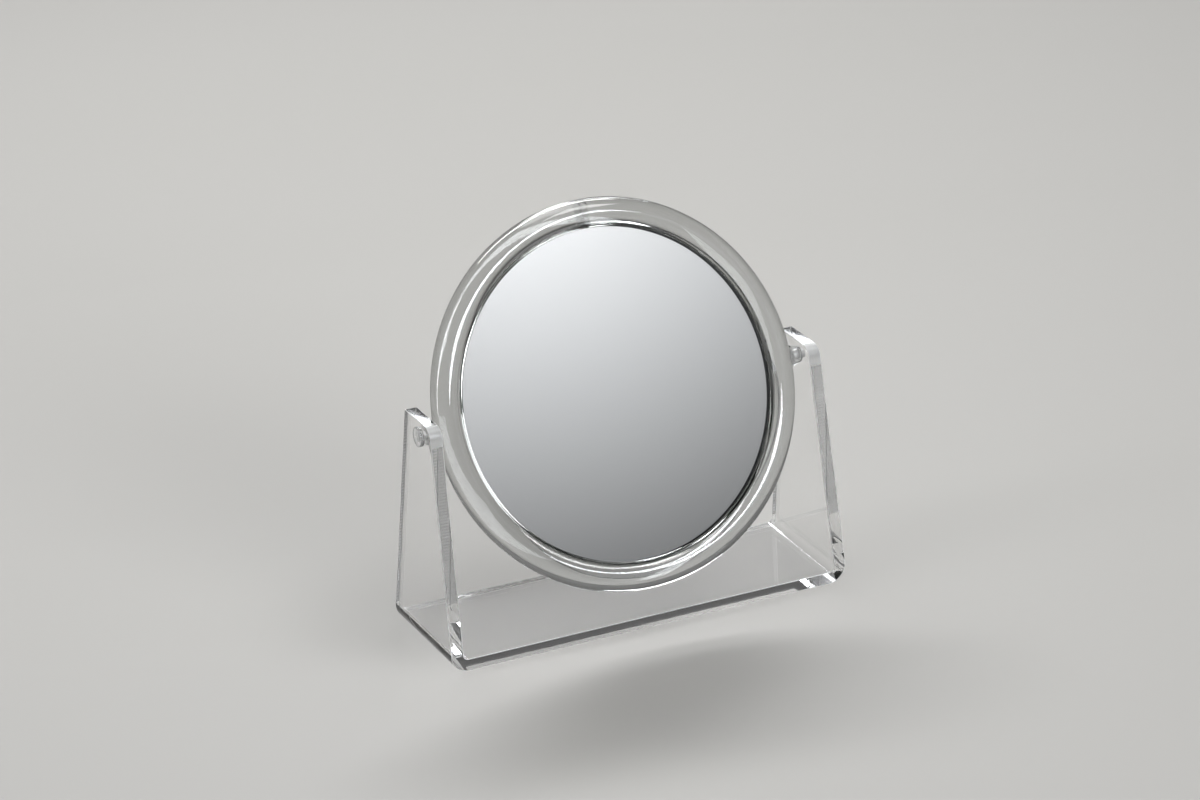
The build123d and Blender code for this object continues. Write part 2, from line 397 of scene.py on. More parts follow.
def moulded_plastic(name, finishes):
    """Small clear mouldings: slightly milky, with a soft gloss that varies over the piece."""
    made, tree, output = new_material(name)
    rough = uneven_roughness(tree, patch=1.6, detail=5, least=0.02, most=0.07)
    shader = add_node(
        tree, "BsdfPrincipled",
        {"Base Color": linear(finishes.moulded), "IOR": ACRYLIC_IOR, "Transmission Weight": 0.88},
        {"Roughness": rough},
    )
    let_lamps_through(tree, output, shader, passed=0.75)
    return made


def mirror_glass(name, finishes):
    """Float glass: clear through its face, and blue-green along its thickness, which tints the rim."""
    made, tree, output = new_material(name)
    rough = uneven_roughness(tree, patch=30, detail=5, least=0.0, most=0.02, shown=(0.5, 0.8))
    shader = add_node(
        tree, "BsdfPrincipled",
        {"Base Color": linear(finishes.glass), "IOR": GLASS_IOR, "Transmission Weight": 1.0},
        {"Roughness": rough},
    )
    let_lamps_through(tree, output, shader, passed=0.95)
    depth = add_node(tree, "VolumeAbsorption", {"Color": linear(finishes.glass_depth), "Density": 14.0})
    tree.links.new(depth.outputs[0], output.inputs["Volume"])
    return made


def silver_coat(name, finishes):
    """Silver laid on glass: a bright mirror with the faintest unevenness."""
    made, tree, output = new_material(name)
    rough = uneven_roughness(tree, patch=22, detail=3, least=0.0, most=0.012)
    shader = add_node(
        tree, "BsdfPrincipled", {"Base Color": linear(finishes.silver), "Metallic": 1.0},
        {"Roughness": rough},
    )
    tree.links.new(shader.outputs[0], output.inputs["Surface"])
    return made


def backing_paint(name, finishes):
    """Grey paint over the silver's back: flat and a little mottled."""
    made, tree, output = new_material(name)
    spot = add_node(tree, "TexCoord")
    mottle = add_node(
        tree, "TexNoise", {"Scale": per_metre(0.8), "Detail": 4}, {"Vector": spot.outputs["Object"]}
    )
    paint = add_node(
        tree, "Mix", {"A": linear(finishes.backing, 0.8), "B": linear(finishes.backing)},
        {"Factor": mottle.outputs["Fac"]}, data_type="RGBA",
    )
    shader = add_node(tree, "BsdfPrincipled", {"Roughness": 0.55}, {"Base Color": paint.outputs["Result"]})
    tree.links.new(shader.outputs[0], output.inputs["Surface"])
    return made


def spacer_foam(name, finishes):
    """White foam strip: matt, with fine closed cells, each painted a little darker in its pit as painted
    shade.
    """
    made, tree, output = new_material(name)
    spot = add_node(tree, "TexCoord")
    cells = add_node(tree, "TexVoronoi", {"Scale": per_metre(0.3)}, {"Vector": spot.outputs["Object"]})
    pits = add_node(
        tree, "Bump", {"Strength": 0.4, "Distance": 0.05 * MM}, {"Height": cells.outputs["Distance"]}
    )
    # Painted shade: each cell is darker where its bump sinks.
    tone = add_node(
        tree, "Mix", {"A": linear(finishes.spacer, 0.86), "B": linear(finishes.spacer)},
        {"Factor": cells.outputs["Distance"]}, data_type="RGBA",
    )
    shader = add_node(
        tree, "BsdfPrincipled", {"Roughness": 0.8},
        {"Base Color": tone.outputs["Result"], "Normal": pits.outputs[0]},
    )
    tree.links.new(shader.outputs[0], output.inputs["Surface"])
    return made


def deselect():
    """Leaves edit mode and deselects every object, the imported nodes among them."""
    if bpy.context.object and bpy.context.object.mode != "OBJECT":
        bpy.ops.object.mode_set(mode="OBJECT")
    bpy.ops.object.select_all(action="DESELECT")


def take_up(piece):
    """Makes a piece the only one selected."""
    deselect()
    piece.select_set(True)
    bpy.context.view_layer.objects.active = piece


def open_for_editing(name):
    """Names the primitive just added and opens it in edit mode."""
    piece = bpy.context.object
    piece.name = name
    piece.data.name = name
    bpy.ops.object.mode_set(mode="EDIT")
    return piece


def pick(kind, test):
    """Selects the verts, edges or faces of the mesh in edit mode that pass a test."""
    bpy.ops.mesh.select_mode(type={"verts": "VERT", "edges": "EDGE", "faces": "FACE"}[kind])
    bpy.ops.mesh.select_all(action="DESELECT")
    data = bpy.context.object.data
    mesh = bmesh.from_edit_mesh(data)
    for item in getattr(mesh, kind):
        if test(item):
            item.select_set(True)
    mesh.select_flush_mode()
    bmesh.update_edit_mesh(data)


def edge_middle(edge):
    """Point half way along an edge."""
    return (edge.verts[0].co + edge.verts[1].co) / 2


def is_cap(face):
    """Whether a face in edit mode is a flat end, the only kind with more than four corners."""
    return len(face.verts) > QUAD


def is_cap_rim(edge):
    """Whether an edge in edit mode runs round a flat end."""
    return any(is_cap(face) for face in edge.link_faces)


def apply_modifier(piece, kind, **settings):
    """Adds a modifier to a piece and applies it."""
    take_up(piece)
    bpy.ops.object.modifier_add(type=kind)
    added = piece.modifiers[-1]
    for name, value in settings.items():
        setattr(added, name, value)
    bpy.ops.object.modifier_apply(modifier=added.name)


def ease_edges(piece, radius, **settings):
    """Rounds a piece's sharp edges."""
    apply_modifier(
        piece, "BEVEL", width=radius, segments=EASED_STEPS, limit_method="ANGLE", angle_limit=EASED_ANGLE,
        use_clamp_overlap=True, **settings,
    )


def place(piece, matrix):
    """Puts a piece at its place and keeps the place in its mesh, so that its object sits at the origin."""
    take_up(piece)
    piece.matrix_world = matrix
    bpy.ops.object.transform_apply(location=True, rotation=True, scale=True)


def drill(piece, diameter, start, end):
    """Drills a round hole on the pivot axis through a piece, from one X to another."""
    deselect()
    bpy.ops.mesh.primitive_cylinder_add(
        vertices=PIVOT_STEPS, radius=diameter / 2, depth=abs(end - start),
        location=((start + end) / 2, PIVOT.y, PIVOT.z), rotation=(0, math.pi / 2, 0),
    )
    cutter = bpy.context.object
    apply_modifier(piece, "BOOLEAN", operation="DIFFERENCE", object=cutter, solver="EXACT")
    bpy.data.objects.remove(cutter)


def smooth(piece):
    """Shades a piece smooth between its sharp edges, with its flat faces kept flat."""
    take_up(piece)
    bpy.ops.object.shade_smooth_by_angle(angle=SMOOTH_ANGLE)
    apply_modifier(piece, "WEIGHTED_NORMAL", weight=100, keep_sharp=True)


def check_closed(piece):
    """Stops the script where a piece's mesh is left open."""
    mesh = bmesh.new()
    mesh.from_mesh(piece.data)
    open_edges = sum(not edge.is_manifold for edge in mesh.edges)
    mesh.free()
    if open_edges:
        raise RuntimeError(f"{piece.name} has {open_edges} open edges")


def hand_over(piece, node, body):
    """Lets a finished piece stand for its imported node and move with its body."""
    check_closed(piece)
    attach(piece, body)
    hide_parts(node)


def ring_place(sizes, turn):
    """Matrix from the ring laid flat on its axis to its tilted place, after a turn about that axis."""
    middle = Matrix.Translation((sizes.ring_shift, PIVOT.y, PIVOT.z))
    tilted = Matrix.Rotation(math.pi / 2 - sizes.tilt, 4, "X")
    return middle @ tilted @ Matrix.Rotation(turn, 4, "Z")


def pivot_place(x, side):
    """Matrix that stands a piece made along Z on the pivot axis, from X outwards on that side."""
    return Matrix.Translation((side * x, PIVOT.y, PIVOT.z)) @ Matrix.Rotation(side * math.pi / 2, 4, "Y")


class MIRROR_OT_stand(Operator):
    """Bends the clear sheet into a base and two uprights, saws their taper and drills the pivot holes."""

    bl_idname = "table_mirror.stand"
    bl_label = "Bent sheet stand"

    def execute(self, context):
        sizes = context.scene.mirror_stand
        finishes = context.scene.mirror_finishes
        foot = sizes.inner_half_width + (PIVOT.z - sizes.sheet) * math.tan(sizes.lean)
        top = PIVOT.z + sizes.top_to_pivot
        painted_highlight_from = top - sizes.painted_highlight_corner

        piece = self.bend_sheet(sizes, foot, top)
        self.cut_uprights(sizes, top)
        bpy.ops.mesh.select_all(action="SELECT")
        bpy.ops.mesh.bisect(plane_co=(0, 0, painted_highlight_from), plane_no=(0, 0, 1), threshold=HAIR)

        for material in (
            clear_acrylic("Cast acrylic sheet, polished", finishes.acrylic, passed=0.985),
            polished_edge("Cast acrylic sheet, polished edge", finishes),
            sawn_edge("Cast acrylic sheet, sawn edge", finishes),
            # The satin corner is painted highlight, a white bloom where the uprights' front corners reflect
            # bright light.
            sanded_and_highlight_acrylic("Cast acrylic sheet, satin corner", finishes, clearness=0.75),
            # The sanded finish is the drill's bloom in the holes, and painted highlight, as white lines, on
            # the eased edges.
            sanded_and_highlight_acrylic("Cast acrylic sheet, sanded", finishes, clearness=0.3),
        ):
            piece.data.materials.append(material)
        # The eased edges take the white sanded bloom as painted highlight lines.
        ease_edges(piece, sizes.broken_edge, material=SANDED_AND_HIGHLIGHT)
        reach = foot + 4 * sizes.sheet
        drill(piece, sizes.pin_hole, -reach, reach)
        self.choose_finishes(piece, sizes, top, painted_highlight_from)
        smooth(piece)
        hand_over(piece, "stand", "stand")
        return {"FINISHED"}

    def bend_sheet(self, sizes, foot, top):
        """Folds up the uprights, a little too tall, rounds the bends and gives the sheet its thickness."""
        deselect()
        bpy.ops.mesh.primitive_plane_add(size=1)
        piece = open_for_editing("acrylic_stand")
        bpy.ops.transform.resize(value=(2 * foot, sizes.base_depth, 1), center_override=(0, 0, 0))
        bpy.ops.transform.translate(value=(0, 0, sizes.sheet))
        spare = sizes.sheet
        rise = top + spare - sizes.sheet
        slope = math.tan(sizes.lean)
        for side in (LEFT, RIGHT):

            def is_base_end(edge):
                middle = edge_middle(edge)
                return side * middle.x > foot - HAIR and abs(middle.z - sizes.sheet) < HAIR

            pick("edges", is_base_end)
            upright = (-side * rise * slope, 0, rise)
            bpy.ops.mesh.extrude_region_move(TRANSFORM_OT_translate={"value": upright})
        pick("edges", lambda e: len(e.link_faces) == 2)
        turn = math.pi / 2 - sizes.lean
        bpy.ops.mesh.bevel(
            offset=sizes.bend_radius * math.tan(turn / 2), offset_type="OFFSET", segments=BEND_STEPS,
            affect="EDGES",
        )
        bpy.ops.mesh.select_all(action="SELECT")
        bpy.ops.mesh.normals_make_consistent(inside=False)
        take_up(piece)
        apply_modifier(
            piece, "SOLIDIFY", thickness=sizes.sheet, offset=self.outward(piece), use_even_offset=True
        )
        bpy.ops.object.mode_set(mode="EDIT")
        return piece

    def outward(self, piece):
        """Which way the sheet's thickness has to grow so that the base ends up on the floor."""
        level = 0.9
        base = max(piece.data.polygons, key=lambda face: face.area if abs(face.normal.z) > level else 0.0)
        return 1.0 if base.normal.z < 0 else -1.0

    def cut_uprights(self, sizes, top):
        """Saws the uprights to their taper and height and rounds their top corners."""
        half = sizes.base_depth / 2
        corners = (
            (-1, sizes.front_to_pivot, sizes.front_corner),
            (1, sizes.back_to_pivot, sizes.back_corner),
        )
        for way, corner, _ in corners:
            low = Vector((0, way * half, sizes.taper_start))
            along = Vector((0, way * corner, top)) - low
            self.saw(low, (0, way * along.z, -way * along.y))
        self.saw((0, 0, top), (0, 0, 1))

        for way, corner, radius in corners:

            def is_top_corner(edge):
                middle = edge_middle(edge)
                return abs(middle.z - top) < HAIR and abs(middle.y - way * corner) < HAIR

            pick("edges", is_top_corner)
            turn = math.pi / 2 - math.atan2(half - corner, top - sizes.taper_start)
            bpy.ops.mesh.bevel(
                offset=radius * math.tan(turn / 2), offset_type="OFFSET", segments=CORNER_STEPS,
                affect="EDGES",
            )

    def saw(self, point, normal):
        """Saws off what lies beyond a plane and closes the cut."""
        bpy.ops.mesh.select_mode(type="FACE")
        bpy.ops.mesh.select_all(action="SELECT")
        bpy.ops.mesh.bisect(plane_co=point, plane_no=normal, use_fill=True, clear_outer=True, threshold=HAIR)

    def choose_finishes(self, piece, sizes, top, painted_highlight_from):
        """Gives each face the finish of its cut, told by how far it faces the front or the back. The satin
        front corners are painted highlight.
        """
        cut = 0.3
        rounded = 0.1
        for face in piece.data.polygons:
            facing = face.normal.y
            height = face.center.z
            if (face.center - PIVOT).yz.length < sizes.pin_hole / 2 + HAIR:
                face.material_index = SANDED_AND_HIGHLIGHT
            elif face.material_index == SANDED_AND_HIGHLIGHT:
                continue
            elif facing > cut and height > sizes.taper_start:
                face.material_index = SAWN
            # Front faces near the top get the satin corner, a painted highlight.
            elif facing < -rounded and height > painted_highlight_from:
                face.material_index = PAINTED_HIGHLIGHT_CORNER
            elif abs(facing) > cut or height > top - HAIR:
                face.material_index = EDGE
            else:
                face.material_index = FACE


def rod_outline(name, sizes, materials):
    """The rod's outline with the groove for the glasses, in the XZ plane, opened in edit mode."""
    ring_radius = sizes.ring_diameter / 2
    deselect()
    bpy.ops.mesh.primitive_circle_add(
        vertices=ROD_STEPS, radius=sizes.rod_diameter / 2, location=(ring_radius, 0, 0),
        rotation=(math.pi / 2, 0, 0),
    )
    bpy.ops.object.transform_apply(location=True, rotation=True, scale=True)
    for material in materials:
        bpy.context.object.data.materials.append(material)
    piece = open_for_editing(name)
    for level in (-sizes.groove_half_width, sizes.groove_half_width):
        bpy.ops.mesh.select_all(action="SELECT")
        bpy.ops.mesh.bisect(plane_co=(0, 0, level), plane_no=(0, 0, 1))
    pick("verts", lambda v: v.co.x < ring_radius and abs(v.co.z) < sizes.groove_half_width - HAIR)
    bpy.ops.mesh.delete(type="VERT")
    pick("verts", lambda v: v.co.x < ring_radius and abs(v.co.z) < sizes.groove_half_width + HAIR)
    lip = ring_radius - math.sqrt((sizes.rod_diameter / 2) ** 2 - sizes.groove_half_width ** 2)
    into_groove = ring_radius - sizes.groove_floor_depth - lip
    bpy.ops.mesh.extrude_vertices_move(TRANSFORM_OT_translate={"value": (into_groove, 0, 0)})
    bpy.ops.mesh.edge_face_add()
    return piece


def spin_rod(turn, steps, eased_end):
    """Spins the rod's outline about the ring's axis and closes both ends, with their rims eased."""
    bpy.ops.mesh.select_all(action="SELECT")
    bpy.ops.mesh.spin(steps=steps, angle=turn, center=(0, 0, 0), axis=(0, 0, 1))
    bpy.ops.mesh.select_all(action="SELECT")
    bpy.ops.mesh.remove_doubles(threshold=HAIR)

    def is_at_start(edge):
        return edge.verts[0].co.x > 0 and max(abs(v.co.y) for v in edge.verts) < HAIR

    for start in (True, False):
        pick("edges", lambda e: len(e.link_faces) == 1 and is_at_start(e) == start)
        bpy.ops.mesh.edge_face_add()
    bpy.ops.mesh.select_all(action="SELECT")
    bpy.ops.mesh.normals_make_consistent(inside=False)
    pick("edges", is_cap_rim)
    bpy.ops.mesh.bevel(offset=eased_end, offset_type="OFFSET", segments=1, affect="EDGES", material=CEMENT)


class MIRROR_OT_ring(Operator):
    """Spins the grooved rod into the ring and the short piece that closes it at the top."""

    bl_idname = "table_mirror.ring"
    bl_label = "Rod ring"

    def execute(self, context):
        sizes = context.scene.mirror_ring
        finishes = context.scene.mirror_finishes
        materials = (
            # The rod's grey tint is painted shade that darkens the clear ring.
            clear_acrylic("Acrylic rod, polished", finishes.rod, passed=0.72),
            cemented_joint("Acrylic cement", finishes),
        )
        radius = sizes.ring_diameter / 2
        closing = sizes.closing_length / radius
        cement = sizes.cement_line / radius

        ring = rod_outline("acrylic_ring", sizes, materials)
        spin_rod(math.tau - closing, RING_STEPS, sizes.eased_end)
        place(ring, ring_place(sizes, math.pi / 2 - closing / 2))
        self.finish(ring, "frame_ring")

        segment = rod_outline("acrylic_ring_closing", sizes, materials)
        spin_rod(closing - 2 * cement, CLOSING_STEPS, sizes.eased_end)
        place(segment, ring_place(sizes, math.pi / 2 + closing / 2 - cement))
        self.finish(segment, "ring_closing_segment")
        return {"FINISHED"}

    def finish(self, piece, node):
        """Puts cement on the two cut ends of a length of rod and hands it over."""
        for face in piece.data.polygons:
            if len(face.vertices) > QUAD:
                face.material_index = CEMENT
        smooth(piece)
        hand_over(piece, node, "mirror")


def round_piece(name, radius, thickness, steps):
    """A disc with its back on the XY plane, opened in edit mode."""
    deselect()
    bpy.ops.mesh.primitive_cylinder_add(
        vertices=steps, radius=radius, depth=thickness, location=(0, 0, thickness / 2)
    )
    bpy.ops.object.transform_apply(location=True, rotation=True, scale=True)
    return open_for_editing(name)


def pick_cap(level):
    """Selects the flat cap of a round piece at a level."""
    pick("faces", lambda f: is_cap(f) and abs(f.calc_center_median().z - level) < HAIR)


def bore_through(width):
    """Opens a round piece in its middle, so that a rim of this width is left."""
    pick("faces", is_cap)
    bpy.ops.mesh.inset(thickness=width, depth=0, use_even_offset=True)
    bpy.ops.mesh.bridge_edge_loops()


def dish(radius, sag):
    """Draws the selected cap in by rings and sinks each to a sphere's curve, with this sag at the rim."""
    step = radius / (BOWL_RINGS + 1)
    for ring in range(1, BOWL_RINGS + 1):
        outer = radius - (ring - 1) * step
        inner = radius - ring * step
        bpy.ops.mesh.inset(thickness=step, depth=0, use_even_offset=True)
        bpy.ops.transform.translate(value=(0, 0, sag * (outer ** 2 - inner ** 2) / radius ** 2))


class MIRROR_OT_glasses(Operator):
    """Cuts the two glasses, lays their silver coats behind them and puts the soft ring between."""

    bl_idname = "table_mirror.glasses"
    bl_label = "Glasses and silver"

    def execute(self, context):
        sizes = context.scene.mirror_ring
        finishes = context.scene.mirror_finishes
        glass = [mirror_glass("Float glass", finishes)]
        coating = [silver_coat("Silver coat", finishes), backing_paint("Backing paint", finishes)]
        foam = [spacer_foam("White foam strip", finishes)]
        coat_radius = sizes.glass_radius - sizes.coat_inset
        gap = sizes.coat_gap
        sag = sizes.rear_curve_radius - math.sqrt(sizes.rear_curve_radius ** 2 - sizes.glass_radius ** 2)

        front_back = sizes.front_face - sizes.front_thickness
        flat = round_piece("flat_glass", sizes.glass_radius, sizes.front_thickness, GLASS_STEPS)
        pick("edges", is_cap_rim)
        bpy.ops.mesh.bevel(offset=sizes.ground_edge, offset_type="OFFSET", segments=1, affect="EDGES")
        self.finish(sizes, flat, front_back, glass, "front_mirror_glass", "mirror_glass")

        front_coat = front_back - gap - sizes.coat_thickness
        coat = round_piece("flat_glass_silver", coat_radius, sizes.coat_thickness, GLASS_STEPS)
        pick_cap(sizes.coat_thickness)
        bpy.ops.mesh.inset(thickness=sizes.coat_thickness, depth=0)
        self.finish(sizes, coat, front_coat, coating, "front_mirror_silvering", "silvering", 1)

        rear_face = -sizes.front_face
        bowl = self.bowl("bowl_glass", sizes.glass_radius, sizes.rear_thickness, sag)
        self.finish(sizes, bowl, rear_face, glass, "rear_mirror_glass", "mirror_glass")

        rear_front = rear_face + sizes.rear_thickness
        coat_sag = sag * (coat_radius / sizes.glass_radius) ** 2
        rear_coat = self.bowl("bowl_glass_silver", coat_radius, sizes.coat_thickness, coat_sag)
        level = rear_front + gap + sag - coat_sag
        self.finish(sizes, rear_coat, level, coating, "rear_mirror_silvering", "silvering", -1)

        inner = coat_radius - sizes.spacer_width
        spacer_low = level + sizes.coat_thickness + gap + coat_sag * (1 - (inner / coat_radius) ** 2)
        spacer = round_piece("rim_spacer", coat_radius, front_coat - gap - spacer_low, GLASS_STEPS)
        bore_through(sizes.spacer_width)
        self.finish(sizes, spacer, spacer_low, foam, "mirror_spacer_ring", "white_spacer")
        return {"FINISHED"}

    def bowl(self, name, radius, thickness, sag):
        """A shallow bowl of even thickness that opens to the rear."""
        piece = round_piece(name, radius, thickness, GLASS_STEPS)
        for level in (0, thickness):
            pick_cap(level)
            dish(radius, sag)
        return piece

    def finish(self, sizes, piece, level, materials, node, slot, mirror_side=0):
        """Puts a glass or coat at its level in the ring. A coat has paint on all but its mirror side."""
        bpy.ops.object.mode_set(mode="OBJECT")
        for material in materials:
            piece.data.materials.append(material)
        if mirror_side:
            flat_enough = 0.5
            for face in piece.data.polygons:
                face.material_index = SILVER if face.normal.z * mirror_side > flat_enough else PAINT
        place(piece, ring_place(sizes, 0) @ Matrix.Translation((0, 0, level)))
        smooth(piece)
        hand_over(piece, node, "mirror")


def turned_piece(context, piece, x, side, eased, node):
    """Eases a pivot piece's rims, stands it on the pivot axis and gives it the moulded plastic."""
    ease_edges(piece, eased)
    plastic = bpy.data.materials.get(PIVOT_PLASTIC)
    if plastic is None:
        plastic = moulded_plastic(PIVOT_PLASTIC, context.scene.mirror_finishes)
    piece.data.materials.append(plastic)
    place(piece, pivot_place(x, side))
    smooth(piece)
    hand_over(piece, node, "mirror")


def node_span(node, side):
    """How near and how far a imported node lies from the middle, along the pivots on that side."""
    low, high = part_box(node)
    return sorted((side * low.x, side * high.x))


def pin_start(context, side):
    """Where a pin leaves the ring. Its cemented end is as clear as the rod, so none of it shows in there."""
    sizes = context.scene.mirror_ring
    reach = (sizes.ring_diameter + sizes.rod_diameter) / 2 + side * sizes.ring_shift
    return reach + context.scene.mirror_pivots.cement


def make_washer(context, name, node, side):
    """A washer on the pin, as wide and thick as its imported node."""
    sizes = context.scene.mirror_pivots
    low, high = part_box(node)
    near, far = node_span(node, side)
    radius = (high.z - low.z) / 2
    washer = round_piece(name, radius, far - near, PIVOT_STEPS)
    bore_through(radius - sizes.bore / 2)
    turned_piece(context, washer, near, side, min(sizes.eased, (far - near) / 4), node)


class MIRROR_OT_left_pivot(Operator):
    """Turns the headed pin of the left pivot and its thin washer."""

    bl_idname = "table_mirror.left_pivot"
    bl_label = "Left pivot"

    def execute(self, context):
        sizes = context.scene.mirror_pivots
        near = pin_start(context, LEFT)
        far = node_span("left_pivot_pin", LEFT)[1]
        shank = far - near - sizes.head_length
        pin = round_piece("headed_pin", sizes.pin / 2, shank, PIVOT_STEPS)
        pick_cap(shank)
        bpy.ops.mesh.extrude_region_move(TRANSFORM_OT_translate={"value": (0, 0, 0)})
        wider = sizes.head / sizes.pin
        bpy.ops.transform.resize(value=(wider, wider, 1), center_override=(0, 0, shank))
        bpy.ops.mesh.extrude_region_move(TRANSFORM_OT_translate={"value": (0, 0, sizes.head_length)})
        bpy.ops.mesh.inset(thickness=(sizes.head - sizes.head_recess) / 2, depth=0)
        bpy.ops.mesh.extrude_region_move(TRANSFORM_OT_translate={"value": (0, 0, -sizes.recess_depth)})
        turned_piece(context, pin, near, LEFT, sizes.head_eased, "left_pivot_pin")

        make_washer(context, "thin_washer", "left_inner_washer", LEFT)
        return {"FINISHED"}


class MIRROR_OT_right_pivot(Operator):
    """Turns the plain pin of the right pivot with its conical spacer and its washer."""

    bl_idname = "table_mirror.right_pivot"
    bl_label = "Right pivot"

    def execute(self, context):
        sizes = context.scene.mirror_pivots
        near = pin_start(context, RIGHT)
        far = node_span("right_pivot_pin", RIGHT)[1]
        pin = round_piece("plain_pin", sizes.pin / 2, far - near, PIVOT_STEPS)
        turned_piece(context, pin, near, RIGHT, sizes.eased, "right_pivot_pin")
        make_washer(context, "stop_washer", "right_washer", RIGHT)

        near, far = node_span("right_spacer", RIGHT)
        radius = sizes.cone_large_end / 2
        spacer = round_piece("cone_spacer", radius, far - near, PIVOT_STEPS)
        bore_through(radius - sizes.bore / 2)
        pick("verts", lambda v: v.co.z > HAIR and v.co.xy.length > radius - HAIR)
        narrower = sizes.cone_small_end / sizes.cone_large_end
        bpy.ops.transform.resize(value=(narrower, narrower, 1), center_override=(0, 0, far - near))
        turned_piece(context, spacer, near, RIGHT, sizes.eased, "right_spacer")
        return {"FINISHED"}


class MIRROR_OT_stage(Operator):
    """Lays the pale floor, hangs the soft lights and the cards, and sets up the camera."""

    bl_idname = "table_mirror.stage"
    bl_label = "Stage"

    def execute(self, context):
        stage = context.scene.mirror_stage
        finishes = context.scene.mirror_finishes
        self.floor(stage, finishes)
        self.world(context, stage, finishes)
        self.mirror_card(finishes)
        self.panel(finishes, "front_panel", at=(0.208, -0.949, 0.730), size=(0.66, 0.26), strength=24)
        self.panel(
            finishes, "back_panel", at=(0.3, 0.6, 0.432), size=(0.5, 0.05), strength=13, aim=(0.3, 0, 0.432)
        )
        rim_panel = self.panel(finishes, "rim_panel", at=(-0.11, -1.07, 0.32), size=(0.55, 0.5), strength=7)
        # This one shows only through clear pieces, as the white line where the ring's lip meets the glass.
        rim_panel.visible_glossy = False

        self.lamp("back_strip", at=(0.2, 1.1, 1.2), size=(1.5, 0.14), watts=18)
        self.lamp("left_strip", at=(-1.2, 0.1, 0.8), size=(0.12, 1.4), watts=5)
        self.lamp("top_softbox", at=(0.62, -0.3, 1.65), size=(0.5, 0.5), watts=7)
        # The two fills light the pieces and the floor, and are not seen in them.
        for fill in (
            self.lamp("ceiling", at=(0, 0, 2.6), size=(3.4, 3.4), watts=7),
            self.lamp("front_fill", at=(0.6, -1.7, 0.9), size=(1.0, 1.0), watts=16),
        ):
            fill.visible_glossy = False
            fill.visible_transmission = False
        self.camera(context, stage)

        # Light crosses many clear walls on its way.
        walls_crossed = 24
        context.scene.view_settings.view_transform = "Standard"
        context.scene.cycles.max_bounces = walls_crossed
        context.scene.cycles.transmission_bounces = walls_crossed
        context.scene.cycles.caustics_reflective = False
        context.scene.cycles.caustics_refractive = False
        return {"FINISHED"}

    def floor(self, stage, finishes):
        """A plain pale floor."""
        deselect()
        bpy.ops.mesh.primitive_plane_add(size=stage.floor_size, location=(0, 0, -stage.floor_drop))
        floor = bpy.context.object
        floor.name = "floor"
        made, tree, output = new_material("Pale floor")
        spot = add_node(tree, "TexCoord")
        grain = add_node(
            tree, "TexNoise", {"Scale": per_metre(1.4), "Detail": 3}, {"Vector": spot.outputs["Object"]}
        )
        bumps = add_node(
            tree, "Bump", {"Strength": 0.1, "Distance": 0.1 * MM}, {"Height": grain.outputs["Fac"]}
        )
        shader = add_node(
            tree, "BsdfPrincipled", {"Base Color": linear(finishes.floor), "Roughness": 0.6},
            {"Normal": bumps.outputs[0]},
        )
        tree.links.new(shader.outputs[0], output.inputs["Surface"])
        floor.data.materials.append(made)

    def world(self, context, stage, finishes):
        """A plain grey room, darker overhead."""
        room = bpy.data.worlds.new("Room")
        context.scene.world = room
        room.use_nodes = True
        tree = room.node_tree
        tree.nodes.clear()
        overhead = 0.6
        way = add_node(tree, "TexCoord")
        axes = add_node(tree, "SeparateXYZ", None, {"Vector": way.outputs["Generated"]})
        ramp = add_node(
            tree, "MapRange",
            {"From Min": 0.0, "From Max": overhead, "To Min": stage.room_low, "To Max": stage.room_high},
            {"Value": axes.outputs["Z"]},
        )
        light = add_node(
            tree, "Background", {"Color": linear(finishes.room)}, {"Strength": ramp.outputs[0]}
        )
        output = add_node(tree, "OutputWorld")
        tree.links.new(light.outputs[0], output.inputs["Surface"])

    def card(self, finishes, name, at, size, aim=PIVOT):
        """A card that shines only in the mirror and the clear pieces, and lights nothing."""
        deselect()
        bpy.ops.mesh.primitive_plane_add(size=1.0, location=at)
        card = bpy.context.object
        card.name = name
        card.scale = (*size, 1.0)
        card.rotation_euler = (Vector(aim) - Vector(at)).to_track_quat("Z", "Y").to_euler()
        card.visible_camera = False
        card.visible_diffuse = False
        card.visible_shadow = False
        made, tree, output = new_material(name)
        glow = add_node(tree, "Emission", {"Color": linear(finishes.card)})
        tree.links.new(glow.outputs[0], output.inputs["Surface"])
        card.data.materials.append(made)
        return card, tree, glow

    def mirror_card(self, finishes):
        """What the mirror shows from the camera's side: a soft light that fades from its upper left."""
        towards = Vector((0.405, -0.851, 0.335))
        distance = 1.1
        side = 0.32
        _, tree, glow = self.card(finishes, "mirror_card", PIVOT + distance * towards, (side, side))

        # The card's own coordinates run over one unit, so places and sizes on it are shares of its side.
        brightest = (0.011 / side, 0.23 / side, 0.0)
        bright_to = 0.12 / side
        dark_from = 0.496 / side
        falloff = 1.6
        strength = 1.1
        across = add_node(tree, "TexCoord")
        far = add_node(
            tree, "VectorMath", {1: brightest}, {0: across.outputs["Object"]}, operation="DISTANCE"
        )
        near = add_node(
            tree, "MapRange", {"From Min": dark_from, "From Max": bright_to, "To Min": 0.0, "To Max": 1.0},
            {"Value": far.outputs["Value"]},
        )
        fade = add_node(tree, "Math", {1: falloff}, {0: near.outputs[0]}, operation="POWER")
        glowing = add_node(tree, "Math", {1: strength}, {0: fade.outputs[0]}, operation="MULTIPLY")
        tree.links.new(glowing.outputs[0], glow.inputs["Strength"])

    def panel(self, finishes, name, at, size, strength, aim=PIVOT):
        """A bright card that draws highlights along the rod and the cut edges."""
        card, _, glow = self.card(finishes, name, at, size, aim)
        glow.inputs["Strength"].default_value = strength
        return card

